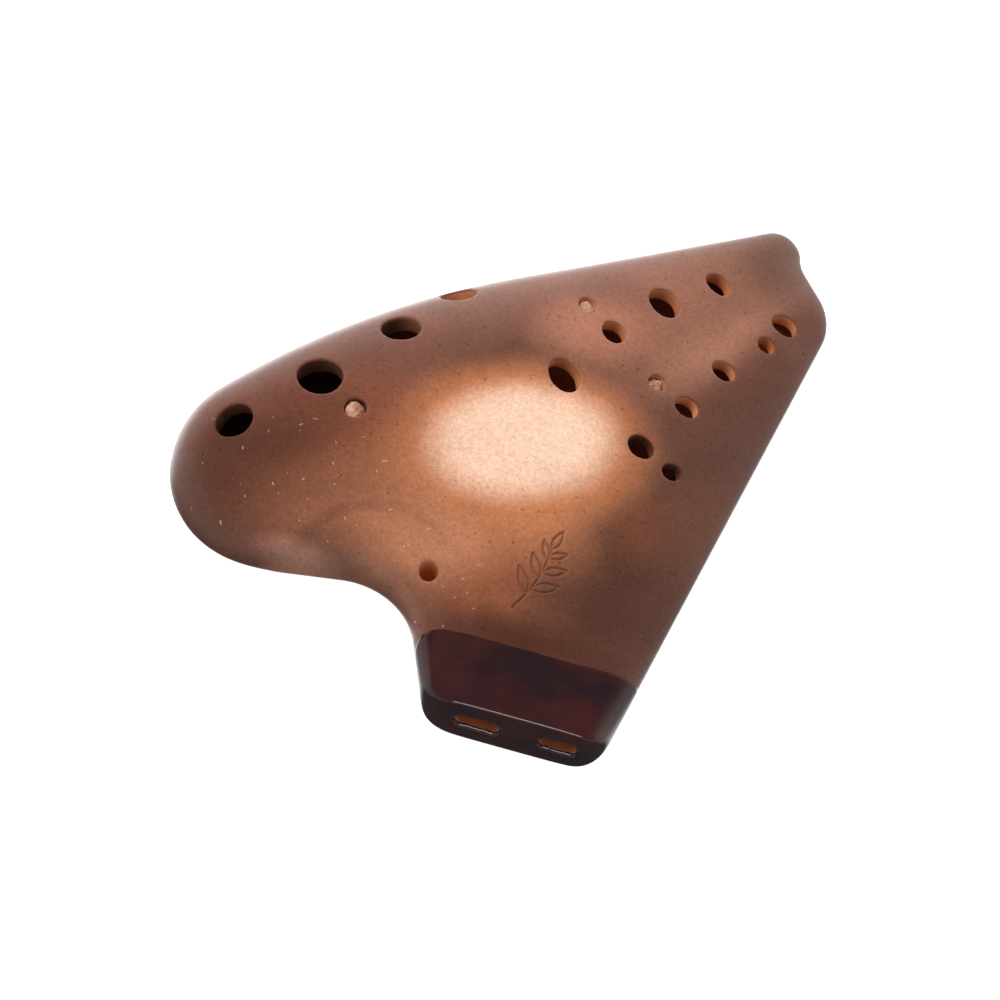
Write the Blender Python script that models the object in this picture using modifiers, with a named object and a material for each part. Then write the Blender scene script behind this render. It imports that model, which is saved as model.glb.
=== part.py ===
"""Double ocarina of fired clay: two air chambers side by side behind one mouthpiece.

Dimensions are in millimetres, and MM turns them into Blender's metres. In the design frame the
mouthpiece's end face is at y = 0 with the player on the -y side, x runs across the mouthpiece,
and the seam between the two half shells is the plane z = 0, finger holes on the +z side.
An empty carries every piece from the design frame to the world frame, where the instrument
rests on its flattened back at z = 0 with the middle of its plan on the z axis.
"""
import math

import bmesh
import bpy
import numpy as np
from mathutils import Matrix, Vector

MM = 0.001
GAP = 0.3
REACH = 200
INWARDS = (0, 1, 0)
OUTWARDS = (0, -1, 0)
FRONTWARDS = (0, 0, 1)
BACKWARDS = (0, 0, -1)

# Corners of the seam outline, counterclockwise: x, y and the corner's radius. It runs past the
# mouthpiece's end face, where the body is cut flat.
OUTLINE = [
    (18.7, -12, 6), (54.7, 147, 18.2), (43, 162.7, 10.7), (40.7, 176.6, 7.2),
    (-67.4, 104.8, 241.3), (-105.7, 50.4, 26.6), (-82.7, 23.7, 24.6), (-34.5, 32.1, 18.5),
    (-17.2, -12, 6),
]
ARC_TURN = math.radians(10)
STRAIGHT_STEP = 8
MIDDLE = np.array([0.0, 72.0])
RINGS = 11
MERIDIAN_SLACK = 0.1

# Half thicknesses in front of and behind the seam, at the lobe, the tail, the mouth and the middle.
LOBE_SPOT = (-66, 64)
TAIL_SPOT = (38, 152)
MOUTH_SPOT = (0, 0)
FRONT = {"lobe": 24.7, "tail": 9.9, "mouth": 7.4, "middle": 15.2}
BACK = {"lobe": 8.9, "tail": 13.6, "mouth": 8.1, "middle": 14.6}
MIDDLE_SPREAD = 38
MOUTH_BLEND = 60
RIM_ROUNDING = 37
MOUTH_ROUNDING = 5
ROUNDING_BLEND = 45
REST_DEPTH = 12.0

# The web that carries the lanyard hole, between the lobe and the mouthpiece.
WEB_CENTRE = np.array([-45.0, 13.0])
WEB_INNER = 24
WEB_BLEND = 9
WEB_DROP = 1.6
WEB_SHARPNESS = 0.62
LANYARD_HOLE = (-29.5, 32.3, 4.5)

# The valley on the front between the two chambers, from the middle to the tail.
VALLEY_START = np.array([9.0, 95.0])
VALLEY_END = np.array([43.0, 158.5])
VALLEY_DEPTH = 3.7
VALLEY_WIDTH = 7

WALL = 4.5
CAVITY_ROUNDING = 8
CAVITY_FRONT = 36
LEAST_ROOM = 0.5
LANYARD_BOSS = 10.5
MOUTHPIECE_LENGTH = 19.4
MOUTH_CORNER = 5
MOUTH_CORNER_CUTS = 3

# Oval finger holes on the front: x, y, the long and the short diameter, and the long one's turn
# from the x axis. Small ones are the sub-holes beside a finger.
LEFT_HAND = [
    (-84.6, 52.6, 9.6, 8.1, 52), (-68.3, 71.0, 11.6, 11.2, 95), (-53.4, 93.6, 10.1, 9.4, 37),
    (-42.6, 112.6, 9.4, 8.0, 27),
]
RIGHT_HAND = [
    (-10.8, 93.9, 10.1, 7.9, 126), (-1.5, 113.1, 6.9, 6.4, 121), (9.2, 128.7, 9.5, 7.9, 126),
    (21.8, 141.8, 7.2, 5.9, 146),
]
SECOND_CHAMBER = [
    (12.4, 82.6, 7.3, 6.3, 173), (21.5, 79.6, 5.5, 4.6, 18), (21.3, 99.8, 6.6, 5.8, 177),
    (28.5, 115.6, 6.6, 5.7, 160), (37.9, 129.1, 5.0, 4.6, 151), (41.6, 137.9, 7.3, 6.3, 156),
]
THUMB_HOLES = [(-64, 60, 10.8, 10.2, 20), (0, 104, 9.2, 8.8, 0), (25, 103, 7.2, 6.9, 0)]
BLIND_HOLES = {
    "clay_plug_lobe": (-57.5, 64.3, 5.4),
    "clay_plug_tail": (-9.9, 119.0, 4.9),
    "clay_plug_valley": (12.4, 103.2, 4.6),
}
BLIND_DEPTH = 3.4
PLUG_HEIGHT = 2.3
PLUG_EDGE = 0.5
DRILL_SIDES = 20
DRILL_START = 3
DRILL_DEPTH = 9
OVERRUN = 2

# Windways: the x of each one's middle and its width. They narrow and fall towards the back.
WINDWAYS = {"left": (-8.8, 11.0), "right": (10.8, 9.5)}
WINDWAY_ENTRY = 4.4
WINDWAY_EXIT = 1.6
WINDWAY_START = -0.6
WINDWAY_DROP = 7.9
WINDOW_LENGTH = 6.0
LABIUM_LENGTH = 12.0
LABIUM_EDGE = 0.5
LABIUM_TOP = 1.4
POCKET_TOP = -4.0

DIVIDER_PATH = [(1.2, 30), (2.4, 50), (5, 76), (10.5, 98), (26, 127), (46, 164)]
DIVIDER_THICKNESS = 3.0

CLAY = (0.30, 0.115, 0.055, 1)
RAW_CLAY = (0.55, 0.27, 0.16, 1)
GLAZE = (0.030, 0.012, 0.012, 1)
CLAY_ROUGHNESS = 0.42
RAW_ROUGHNESS = 0.85
GLAZE_ROUGHNESS = 0.12
SHARP_EDGE = math.radians(35)

# Smallest lengths and squares that count as more than nothing, in the units where they are used.
CUT_TOLERANCE = 1e-6
LEVEL_TOLERANCE = 1e-5
LEAST_SQUARE = 1e-9
SLOPE_STEP = 0.5


def smooth_step(amount):
    """0 to 1 with level ends, for an amount that runs from 0 to 1."""
    amount = np.clip(amount, 0, 1)
    return amount * amount * (3 - 2 * amount)


def rounded_outline(corners):
    """Points along a closed outline whose corners are replaced by arcs."""
    spots = np.array([corner[:2] for corner in corners], float)
    bends = []
    for index, (_, _, radius) in enumerate(corners):
        corner = spots[index]
        back = spots[index - 1] - corner
        ahead = spots[(index + 1) % len(spots)] - corner
        back /= np.linalg.norm(back)
        ahead /= np.linalg.norm(ahead)
        half = math.acos(float(back @ ahead)) / 2
        middle = corner + (back + ahead) / np.linalg.norm(back + ahead) * radius / math.sin(half)
        first = corner + back * radius / math.tan(half) - middle
        last = corner + ahead * radius / math.tan(half) - middle
        start = math.atan2(first[1], first[0])
        turn = (math.atan2(last[1], last[0]) - start + math.pi) % math.tau - math.pi
        steps = max(abs(turn) / ARC_TURN, abs(turn) * radius / STRAIGHT_STEP, 2)
        count = math.ceil(steps) + 1
        for angle in start + np.linspace(0, turn, count):
            bends.append(middle + radius * np.array([math.cos(angle), math.sin(angle)]))
    points = []
    for here, there in zip(bends, bends[1:] + bends[:1]):
        steps = max(1, math.ceil(np.linalg.norm(there - here) / STRAIGHT_STEP))
        points += [here + (there - here) * step / steps for step in range(steps)]
    return np.array(points)


def inset(corners, distance):
    """The same corners with every edge moved inwards."""
    spots = np.array([corner[:2] for corner in corners], float)
    moved = []
    for index, (_, _, radius) in enumerate(corners):
        along = spots[index] - spots[index - 1]
        after = spots[(index + 1) % len(spots)] - spots[index]
        along /= np.linalg.norm(along)
        after /= np.linalg.norm(after)
        inward = np.array([-along[1] - after[1], along[0] + after[0]])
        inward /= np.linalg.norm(inward)
        shift = distance / float(inward @ np.array([-along[1], along[0]]))
        convex = along[0] * after[1] - along[1] * after[0] > 0
        new_radius = max(radius - distance, 1) if convex else radius + distance
        moved.append((*(spots[index] + inward * shift), new_radius))
    return moved


def rim_distance(points, outline):
    """A smooth distance from the outline: equal to the true one at a straight edge.

    It is (2 / sum of ds / r^3) ** 0.5 over the outline, with each edge integrated exactly.
    """
    edges = np.roll(outline, -1, axis=0) - outline
    lengths = np.linalg.norm(edges, axis=1)
    away = points[:, None, :] - outline[None]
    along = (away * (edges / lengths[:, None])).sum(axis=2)
    off_squared = np.maximum((away**2).sum(axis=2) - along**2, LEAST_SQUARE)
    ahead = lengths - along
    total = ahead / np.sqrt(off_squared + ahead**2) + along / np.sqrt(off_squared + along**2)
    return np.sqrt(2 / (total / off_squared).sum(axis=1))


def rise(distance, rounding):
    """The share of the full thickness at a distance from the rim: upright there, then level."""
    return np.sqrt(1 - np.exp(-2 * distance / rounding))


def thickness(points, sizes):
    """Half thickness over the plan: a sloping plane with a swelling at the middle."""
    spots = np.array([LOBE_SPOT, TAIL_SPOT, MOUTH_SPOT, MIDDLE], float)
    ends = [sizes["lobe"], sizes["tail"], sizes["mouth"]]
    slopes = np.linalg.solve(np.column_stack([np.ones(3), spots[:3]]), ends)
    swelling = sizes["middle"] - slopes[0] - float(spots[3] @ slopes[1:])
    spread = np.exp(-((points - MIDDLE) ** 2).sum(axis=1) / (2 * MIDDLE_SPREAD**2))
    body = slopes[0] + points @ slopes[1:] + swelling * spread
    share = smooth_step(points[:, 1] / MOUTH_BLEND)
    return sizes["mouth"] * (1 - share) + body * share


def web_share(points):
    """1 on the web and 0 away from it."""
    reach = np.linalg.norm(points - WEB_CENTRE, axis=1)
    return 1 - smooth_step((reach - WEB_INNER) / WEB_BLEND)


def edge_rounding(points):
    """How far in from the rim the surface keeps curving."""
    share = np.clip(points[:, 1] / ROUNDING_BLEND, 0, 1)
    rounding = MOUTH_ROUNDING + (RIM_ROUNDING - MOUTH_ROUNDING) * share
    return rounding * (1 - WEB_SHARPNESS * web_share(points))


def valley(points):
    """Depth of the valley between the chambers."""
    run = VALLEY_END - VALLEY_START
    length = np.linalg.norm(run)
    away = points - VALLEY_START
    along = (away @ run) / length**2
    across = (away @ np.array([-run[1], run[0]])) / length
    return VALLEY_DEPTH * np.clip(along, 0, 1.2) * np.exp(-((across / VALLEY_WIDTH) ** 2))


def front_height(points):
    """Height of the front surface above the seam."""
    full = thickness(points, FRONT) - WEB_DROP * web_share(points) - valley(points)
    return full * rise(rim_distance(points, SEAM), edge_rounding(points))


def back_depth(points):
    """Depth of the back surface below the seam, before its resting face is cut flat."""
    return thickness(points, BACK) * rise(rim_distance(points, SEAM), edge_rounding(points))


def surface_point(x, y, side):
    """The point on the front (side 1) or back (side -1) surface over x, y, and its normal."""
    step = SLOPE_STEP
    plan = np.array([(x, y), (x + step, y), (x - step, y), (x, y + step), (x, y - step)])
    heights = front_height(plan) if side > 0 else -back_depth(plan)
    slope_x = (heights[1] - heights[2]) / (2 * step)
    slope_y = (heights[3] - heights[4]) / (2 * step)
    normal = Vector((-slope_x, -slope_y, 1)).normalized() * side
    return Vector((x, y, heights[0])), normal


def add_object(name, mesh, collection):
    """An object for a bmesh in design millimetres, under the frame's empty."""
    data = bpy.data.meshes.new(name)
    bmesh.ops.scale(mesh, vec=(MM, MM, MM), verts=mesh.verts)
    mesh.to_mesh(data)
    mesh.free()
    obj = bpy.data.objects.new(name, data)
    obj.parent = design_frame
    collection.objects.link(obj)
    if collection is cutters:
        obj.hide_render = True
        obj.display_type = "WIRE"
    return obj


def combine(obj, operation, other):
    """Cuts, joins or intersects an object with another one."""
    modifier = obj.modifiers.new(f"{operation.lower()} {other.name}", "BOOLEAN")
    modifier.operation = operation
    modifier.object = other
    modifier.solver = "EXACT"


def keep_beyond(mesh, point, direction):
    """Cuts a closed mesh flat at a point, and keeps what lies in a direction from it."""
    everything = mesh.verts[:] + mesh.edges[:] + mesh.faces[:]
    cut = bmesh.ops.bisect_plane(
        mesh, geom=everything, dist=CUT_TOLERANCE, plane_co=point, plane_no=direction, clear_inner=True
    )
    edges = [part for part in cut["geom_cut"] if isinstance(part, bmesh.types.BMEdge)]
    bmesh.ops.edgeloop_fill(mesh, edges=edges)


def cushion(name, rim, front, back, cuts, collection):
    """A closed body inside a rim: a sphere whose equator follows the rim, cut flat at planes."""
    mesh = bmesh.new()
    bmesh.ops.create_uvsphere(mesh, u_segments=len(rim), v_segments=2 * RINGS, radius=1)
    mesh.verts.ensure_lookup_table()
    places = np.array([vertex.co for vertex in mesh.verts])
    turns = np.arctan2(places[:, 1], places[:, 0]) / math.tau
    index = np.floor(turns * len(rim) + MERIDIAN_SLACK).astype(int) % len(rim)
    spread = np.linalg.norm(places[:, :2], axis=1)
    plan = MIDDLE + spread[:, None] * (rim[index] - MIDDLE)
    inside = np.abs(places[:, 2]) > LEVEL_TOLERANCE
    heights = np.zeros(len(plan))
    upper = inside & (places[:, 2] > 0)
    lower = inside & (places[:, 2] < 0)
    heights[upper] = front(plan[upper])
    heights[lower] = -back(plan[lower])
    for vertex, (x, y), z in zip(mesh.verts, plan, heights):
        vertex.co = (x, y, z)
    for point, direction in cuts:
        keep_beyond(mesh, point, direction)
    return add_object(name, mesh, collection)


def box(name, low, high, collection):
    """A box between two corners."""
    mesh = bmesh.new()
    bmesh.ops.create_cube(mesh, size=1)
    low, high = Vector(low), Vector(high)
    bmesh.ops.scale(mesh, vec=high - low, verts=mesh.verts)
    bmesh.ops.translate(mesh, vec=(low + high) / 2, verts=mesh.verts)
    return add_object(name, mesh, collection)


def rod(name, start, end, size, collection, turn=0):
    """An oval cylinder between two points, with its long axis turned from the x axis."""
    long, short = size
    run = end - start
    axis = run.normalized()
    across = (Vector((1, 0, 0)) - axis * axis.x).normalized()
    frame = Matrix((across, axis.cross(across), axis)).transposed().to_4x4()
    mesh = bmesh.new()
    bmesh.ops.create_cone(
        mesh, cap_ends=True, segments=DRILL_SIDES, radius1=0.5, radius2=0.5, depth=run.length
    )
    shape = Matrix.Rotation(math.radians(turn), 4, "Z") @ Matrix.Diagonal((long, short, 1, 1))
    place = Matrix.Translation((start + end) / 2) @ frame @ shape
    bmesh.ops.transform(mesh, matrix=place, verts=mesh.verts)
    return add_object(name, mesh, collection)


def drill(obj, name, spot, size, side, turn=0, depth=DRILL_DEPTH):
    """A hole square to the surface."""
    place, normal = surface_point(*spot, side)
    start = place + normal * DRILL_START
    drilled = rod(name, start, place - normal * depth, size, cutters, turn)
    combine(obj, "DIFFERENCE", drilled)


def air_space(name, clearance):
    """The hollow of both chambers together, or one smaller by a clearance."""
    wall = WALL + clearance
    rim = rounded_outline(inset(OUTLINE, wall))

    def hollow(surface):
        def height(points):
            room = np.maximum(surface(points) - wall, LEAST_ROOM)
            return room * rise(rim_distance(points, rim), CAVITY_ROUNDING)
        return height

    def back_surface(points):
        return np.minimum(back_depth(points), REST_DEPTH)

    cuts = [((0, CAVITY_FRONT + clearance, 0), INWARDS)]
    space = cushion(name, rim, hollow(front_height), hollow(back_surface), cuts, cutters)
    combine(space, "DIFFERENCE", lanyard_rod(f"{name}_boss", LANYARD_BOSS + 2 * clearance))
    return space


def lanyard_rod(name, diameter):
    """A cylinder along the lanyard hole's axis."""
    x, y, _ = LANYARD_HOLE
    size = (diameter, diameter)
    return rod(name, Vector((x, y, -REACH / 4)), Vector((x, y, REACH / 4)), size, cutters)


def windway_cutter(side):
    """The narrowing, slanting slot that carries the breath from the mouth to the window."""
    middle, width = WINDWAYS[side]
    mesh = bmesh.new()
    bmesh.ops.create_cube(mesh, size=1)
    for vertex in mesh.verts:
        y = -OVERRUN if vertex.co.y < 0 else CAVITY_FRONT + GAP
        share = y / CAVITY_FRONT
        height = WINDWAY_ENTRY + (WINDWAY_EXIT - WINDWAY_ENTRY) * share
        z = WINDWAY_START - WINDWAY_DROP * share + vertex.co.z * height
        vertex.co = (middle + vertex.co.x * width, y, z)
    return add_object(f"windway_{side}", mesh, cutters)


def window_cutter(side):
    """The opening in the back wall for the window and the labium behind it."""
    middle, width = WINDWAYS[side]
    low = (middle - width / 2, CAVITY_FRONT, -REACH)
    high = (middle + width / 2, CAVITY_FRONT + WINDOW_LENGTH + LABIUM_LENGTH, POCKET_TOP)
    return box(f"window_{side}", low, high, cutters)


def labium(side):
    """The sloping clay tongue whose edge splits the jet of air."""
    middle, width = WINDWAYS[side]
    edge = CAVITY_FRONT + WINDOW_LENGTH
    root = edge + LABIUM_LENGTH - GAP
    jet = WINDWAY_START - WINDWAY_DROP
    root_bottom = -back_depth(np.array([(middle, root)]))[0]
    mesh = bmesh.new()
    bmesh.ops.create_cube(mesh, size=1)
    for vertex in mesh.verts:
        at_edge = vertex.co.y < 0
        if at_edge:
            z = jet + math.copysign(LABIUM_EDGE / 2, vertex.co.z)
        else:
            z = jet + LABIUM_TOP if vertex.co.z > 0 else root_bottom
        vertex.co = (middle + vertex.co.x * (width - 2 * GAP), edge if at_edge else root, z)
    return add_object(f"labium_{side}", mesh, ocarina)


def chamber_divider():
    """The clay wall between the chambers: a strip along its path, fitted to the hollow."""
    mesh = bmesh.new()
    rows = [[mesh.verts.new((x, y, z)) for x, y in DIVIDER_PATH] for z in (-REACH / 4, REACH / 4)]
    for index in range(len(DIVIDER_PATH) - 1):
        low, high = rows
        mesh.faces.new((low[index], low[index + 1], high[index + 1], high[index]))
    divider = add_object("chamber_divider", mesh, ocarina)
    solid = divider.modifiers.new("thickness", "SOLIDIFY")
    solid.thickness = DIVIDER_THICKNESS * MM
    solid.offset = 0
    combine(divider, "INTERSECT", air_space("divider_room", GAP))
    return divider


def clay_plug(name, x, y, diameter):
    """A lump of clay pressed into a blind hole."""
    spot, normal = surface_point(x, y, 1)
    floor = spot - normal * (BLIND_DEPTH - GAP)
    size = (diameter - 2 * GAP, diameter - 2 * GAP)
    plug = rod(name, floor, floor + normal * PLUG_HEIGHT, size, ocarina)
    bevel = plug.modifiers.new("worn edge", "BEVEL")
    bevel.width = PLUG_EDGE * MM
    bevel.segments = 2
    bevel.limit_method = "ANGLE"
    return plug


def front_shell():
    """The half with the finger holes."""
    cuts = [((0, MOUTHPIECE_LENGTH + GAP, 0), INWARDS), ((0, 0, GAP / 2), FRONTWARDS)]
    shell = cushion("upper_shell", SEAM, front_height, back_depth, cuts, ocarina)
    combine(shell, "DIFFERENCE", chamber_hollow)
    holes = LEFT_HAND + RIGHT_HAND + SECOND_CHAMBER
    for number, (x, y, long, short, turn) in enumerate(holes, 1):
        drill(shell, f"finger_hole_{number}", (x, y), (long, short), 1, turn)
    for name, (x, y, diameter) in BLIND_HOLES.items():
        drill(shell, f"{name}_hole", (x, y), (diameter, diameter), 1, depth=BLIND_DEPTH)
    combine(shell, "DIFFERENCE", lanyard_cutter)
    return shell


def back_shell():
    """The half with the thumb holes and the two windows. It rests on its flat face."""
    cuts = [
        ((0, MOUTHPIECE_LENGTH + GAP, 0), INWARDS),
        ((0, 0, -GAP / 2), BACKWARDS),
        ((0, 0, -REST_DEPTH), FRONTWARDS),
    ]
    shell = cushion("lower_shell", SEAM, front_height, back_depth, cuts, ocarina)
    combine(shell, "DIFFERENCE", chamber_hollow)
    for number, (x, y, long, short, turn) in enumerate(THUMB_HOLES, 1):
        drill(shell, f"thumb_hole_{number}", (x, y), (long, short), -1, turn)
    combine(shell, "DIFFERENCE", lanyard_cutter)
    for side, windway in windways.items():
        combine(shell, "DIFFERENCE", windway)
        combine(shell, "DIFFERENCE", window_cutter(side))
    return shell


def corner_cuts(corner, side):
    """Planes that round an upright corner of the mouthpiece: a point on each and its way in."""
    spot = np.array([edge_at(corner, 0), 0])
    first = np.array(side) / np.linalg.norm(side)
    last = np.array([-corner, 0])
    middle_way = (first + last) / np.linalg.norm(first + last)
    half = math.acos(float(first @ last)) / 2
    centre = spot + middle_way * MOUTH_CORNER / math.sin(half)
    spread = math.pi / 2 - half
    facing = math.atan2(-middle_way[1], -middle_way[0])
    cuts = []
    for step in range(MOUTH_CORNER_CUTS):
        angle = facing + spread * (2 * (step + 1) / (MOUTH_CORNER_CUTS + 1) - 1)
        outward = np.array([math.cos(angle), math.sin(angle)])
        cuts.append(((*(centre + outward * MOUTH_CORNER), 0), (*-outward, 0)))
    return cuts


def edge_at(corner, y):
    """The x of the outline's straight side at y, on the left (-1) or the right (1)."""
    low, high = (OUTLINE[-1], OUTLINE[-2]) if corner < 0 else (OUTLINE[0], OUTLINE[1])
    return low[0] + (high[0] - low[0]) * (y - low[1]) / (high[1] - low[1])


def mouthpiece():
    """The glazed beak with the mouths of the two windways."""
    cuts = [((0, 0, 0), INWARDS), ((0, MOUTHPIECE_LENGTH, 0), OUTWARDS)]
    for corner in (-1, 1):
        side = (edge_at(corner, 1) - edge_at(corner, 0), 1)
        cuts += corner_cuts(corner, side)
    beak = cushion("mouthpiece", SEAM, front_height, back_depth, cuts, ocarina)
    for windway in windways.values():
        combine(beak, "DIFFERENCE", windway)
    return beak


def finish(obj, name, color, roughness):
    """A plain material, and smooth shading with sharp edges kept."""
    material = bpy.data.materials.get(name) or bpy.data.materials.new(name)
    material.use_nodes = True
    shader = material.node_tree.nodes["Principled BSDF"]
    shader.inputs["Base Color"].default_value = color
    shader.inputs["Roughness"].default_value = roughness
    shader.inputs["Metallic"].default_value = 0
    obj.data.materials.append(material)
    obj.data.shade_smooth()
    obj.data.set_sharp_from_angle(angle=SHARP_EDGE)


for existing in list(bpy.data.objects):
    bpy.data.objects.remove(existing)

ocarina = bpy.data.collections.new("ocarina")
cutters = bpy.data.collections.new("cutters")
for group in (ocarina, cutters):
    bpy.context.scene.collection.children.link(group)

SEAM = rounded_outline(OUTLINE)
plan_middle = (SEAM[:, 0].max() + SEAM[:, 0].min()) / 2, SEAM[:, 1].max() / 2
design_frame = bpy.data.objects.new("design_frame", None)
design_frame.location = Vector((-plan_middle[0], -plan_middle[1], REST_DEPTH)) * MM
ocarina.objects.link(design_frame)

chamber_hollow = air_space("chamber_hollow", 0)
windways = {side: windway_cutter(side) for side in WINDWAYS}
lanyard_cutter = lanyard_rod("lanyard_hole", LANYARD_HOLE[2])

for piece in (front_shell(), back_shell(), chamber_divider()):
    finish(piece, "smoked clay", CLAY, CLAY_ROUGHNESS)
for side in WINDWAYS:
    finish(labium(side), "smoked clay", CLAY, CLAY_ROUGHNESS)
for plug_name, (plug_x, plug_y, plug_diameter) in BLIND_HOLES.items():
    finish(clay_plug(plug_name, plug_x, plug_y, plug_diameter), "raw clay", RAW_CLAY, RAW_ROUGHNESS)
finish(mouthpiece(), "dark glaze", GLAZE, GLAZE_ROUGHNESS)
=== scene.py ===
"""Scene for a double ocarina of smoked clay with a glazed mouthpiece.

Shapes are worked out in design millimetres: the mouthpiece's end face is at y = 0 with the player
on the -y side, x runs across it, and z = 0 is the seam between the two half shells. ORIGIN is the
design point that lies at the world's origin, and MM turns millimetres into metres.
"""
import math

import bmesh
import bpy
import numpy as np
from mathutils import Matrix, Vector

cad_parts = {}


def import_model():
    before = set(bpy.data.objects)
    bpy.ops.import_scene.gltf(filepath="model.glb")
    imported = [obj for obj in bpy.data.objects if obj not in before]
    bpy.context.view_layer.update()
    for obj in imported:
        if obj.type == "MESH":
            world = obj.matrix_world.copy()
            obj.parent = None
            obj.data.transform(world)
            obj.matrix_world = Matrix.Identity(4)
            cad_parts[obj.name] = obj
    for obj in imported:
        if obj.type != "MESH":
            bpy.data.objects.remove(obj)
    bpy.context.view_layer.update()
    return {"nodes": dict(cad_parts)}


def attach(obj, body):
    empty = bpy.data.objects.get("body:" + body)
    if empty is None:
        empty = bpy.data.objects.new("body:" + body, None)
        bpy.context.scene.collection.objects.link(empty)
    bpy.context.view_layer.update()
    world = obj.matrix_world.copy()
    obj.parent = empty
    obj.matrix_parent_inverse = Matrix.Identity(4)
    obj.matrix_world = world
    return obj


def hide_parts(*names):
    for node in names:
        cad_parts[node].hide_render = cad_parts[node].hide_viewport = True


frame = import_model()

MM = 0.001
ORIGIN = np.array([-22.651, 85.812, -12.0])

# ---------------- the object's measures, in mm
# Corners of the seam's outline on the plan: x, y and the radius that rounds each.
OUTLINE = [
    (18.7, -12, 6), (54.7, 147, 18.2), (43, 162.7, 10.7), (40.7, 176.6, 7.2),
    (-67.4, 104.8, 241.3), (-105.7, 50.4, 26.6), (-82.7, 23.7, 24.6), (-34.5, 32.1, 18.5),
    (-17.2, -12, 6),
]
ARC_TURN = math.radians(4)
STRAIGHT_STEP = 8
MIDDLE = np.array([0.0, 72.0])

# Half thicknesses of the front and the back at these places on the plan.
LOBE_SPOT = (-66, 64)
TAIL_SPOT = (38, 152)
MOUTH_SPOT = (0, 0)
FRONT = {"lobe": 24.7, "tail": 9.9, "mouth": 7.4, "middle": 15.2}
BACK = {"lobe": 8.9, "tail": 13.6, "mouth": 8.1, "middle": 14.6}
MIDDLE_SPREAD = 38
MOUTH_BLEND = 60
RIM_ROUNDING = 37
MOUTH_ROUNDING = 5
ROUNDING_BLEND = 45
REST_DEPTH = 12.0
SEAM_CLEAR = 0.07
BELLY_BLEND = 1.0

# The thin web between the lobe and the mouthpiece.
WEB_CENTRE = np.array([-45.0, 13.0])
WEB_INNER = 24
WEB_BLEND = 9
WEB_DROP = 1.6
WEB_SHARPNESS = 0.62
LANYARD_HOLE = (-29.5, 32.3, 4.5)
LANYARD_BOSS = 10.5

VALLEY_START = np.array([9.0, 95.0])
VALLEY_END = np.array([43.0, 158.5])
VALLEY_DEPTH = 3.7
VALLEY_WIDTH = 7

UNEVENNESS = 0.16
FRONT_SWELLS = (26, 3)
BACK_SWELLS = (30, 4)

WALL = 4.5
CAVITY_ROUNDING = 8
CAVITY_FRONT = 36

# Holes: x, y, the long and the short diameter, and the long one's turn from the x axis.
FINGER_HOLES = [
    (-84.6, 52.6, 9.6, 8.1, 52), (-68.3, 71.0, 11.6, 11.2, 95), (-53.4, 93.6, 10.1, 9.4, 37),
    (-42.6, 112.6, 9.4, 8.0, 27), (-10.8, 93.9, 10.1, 7.9, 126), (-1.5, 113.1, 6.9, 6.4, 121),
    (9.2, 128.7, 9.5, 7.9, 126), (21.8, 141.8, 7.2, 5.9, 146), (12.4, 82.6, 7.3, 6.3, 173),
    (21.5, 79.6, 5.5, 4.6, 18), (21.3, 99.8, 6.6, 5.8, 177), (28.5, 115.6, 6.6, 5.7, 160),
    (37.9, 129.1, 5.0, 4.6, 151), (41.6, 137.9, 7.3, 6.3, 156),
]
THUMB_HOLES = [(-64, 60, 10.8, 10.2, 20), (0, 104, 9.2, 8.8, 0), (25, 103, 7.2, 6.9, 0)]
BLIND_HOLES = {
    "clay_plug_lobe": (-57.5, 64.3, 5.7, 5.2, 59),
    "clay_plug_tail": (-9.9, 119.0, 5.2, 4.6, 111),
    "clay_plug_valley": (12.4, 103.2, 4.7, 4.5, 32),
}
BLIND_DEPTH = 3.4
DRILL_START = 3.0
DRILL_DEPTH = 9.0

# Windways: the middle's x and the width.
WINDWAYS = {"left": (-8.8, 11.0), "right": (10.8, 9.5)}
WINDWAY_ENTRY = 4.5
WINDWAY_EXIT = 1.6
WINDWAY_START = -0.6
WINDWAY_DROP = 7.9
WINDOW_LENGTH = 6.0
LABIUM_LENGTH = 12.0
LABIUM_EDGE = 0.5
POCKET_TOP = -4.0

# The low plateau round the lanyard hole: a circle with a soft step at its edge.
PLATEAU_CENTRE = np.array([-40.0, 21.5])
PLATEAU_REACH = 22.6
PLATEAU_STEP = 3.2
PLATEAU_DROP = 1.3
PLATEAU_START = 19.0
PLATEAU_BLEND = 10.0

# The mouthpiece's flat end, cut as a prism that lets go of the body behind the beak.
END_PLANE = 0.06
END_EDGE = 0.9
END_CORNER = 9.0
END_CLEAR = 1.5
END_REACH = 12.0
END_RELEASE = 8.0

# A plain twig with leaves, incised in front of the mouthpiece: where each leaf leaves the stem,
# its turn from the stem and its length.
TWIG_START = (-8.0, 28.5)
TWIG_END = (-2.5, 46.0)
TWIG_BOW = -1.3
TWIG_LEAVES = [
    (0.28, 48, 7.0), (0.36, -50, 7.0), (0.56, 46, 6.2), (0.64, -48, 6.2), (0.84, 42, 4.8),
    (0.88, -44, 4.8), (1.0, 0, 5.5),
]
TWIG_LEAF_WIDTH = 0.20
STROKE_WIDTH = 0.33
STROKE_DEPTH = 0.48
STROKE_MARGIN = 1.3
CARVE_MARGIN = 1.7
LIP_PLACE = 2.1
LIP_HEIGHT = 0.16
TWIG_LOWEST = 5

# The glaze: how far it goes up the mouthpiece, and how thick it lies on the clay. The clay
# under it starts a little behind the end face.
CLAY_START = 0.7
GLAZE_LENGTH = 18.7
GLAZE_RISE = 1.9
GLAZE_SAG = 4.0
GLAZE_THICKNESS = 0.13
GLAZE_FADE = 0.8
GLAZE_TUCK = 0.5
GLAZE_SKIN = 1.0
GLAZE_ROLL = 1.5
SLOT_SQUEEZE = -0.25

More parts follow.
